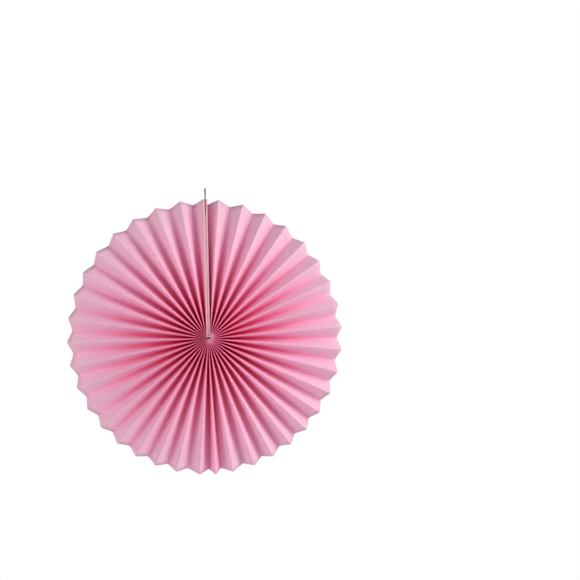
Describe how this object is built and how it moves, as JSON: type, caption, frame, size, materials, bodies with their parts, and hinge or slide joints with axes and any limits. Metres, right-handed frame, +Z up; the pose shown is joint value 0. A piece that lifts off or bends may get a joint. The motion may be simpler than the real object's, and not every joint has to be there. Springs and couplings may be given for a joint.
{
  "type": "paper fan rosette",
  "caption": "Round hanging decoration of accordion-pleated pink paper, opened into a full disc between two stiff end boards and hung by a thread loop.",
  "frame": {"origin": "centre of the rim, half way between the front and the rear of the folds", "axes": "+Z up to the seam and the hanging loop, -Y towards the viewer, out of the front of the disc, +X to the viewer's right"},
  "size_m": [0.3992, 0.024, 0.4169],
  "materials": {
    "pink_paper": "matt uncoated pink paper with a fine grain",
    "end_board": "pale pinkish greyboard with cut edges",
    "tape": "pale foam adhesive tape",
    "thread": "dark grey twisted thread"
  },
  "bodies": {
    "root": {"right_pleated_sheet": "pink_paper", "left_pleated_sheet": "pink_paper", "right_end_board": "end_board", "left_end_board": "end_board", "front_tape": "tape", "rear_tape": "tape", "binding_thread": "thread", "hanging_thread": "thread", "hub_knot": "thread"}
  },
  "joints": []
}
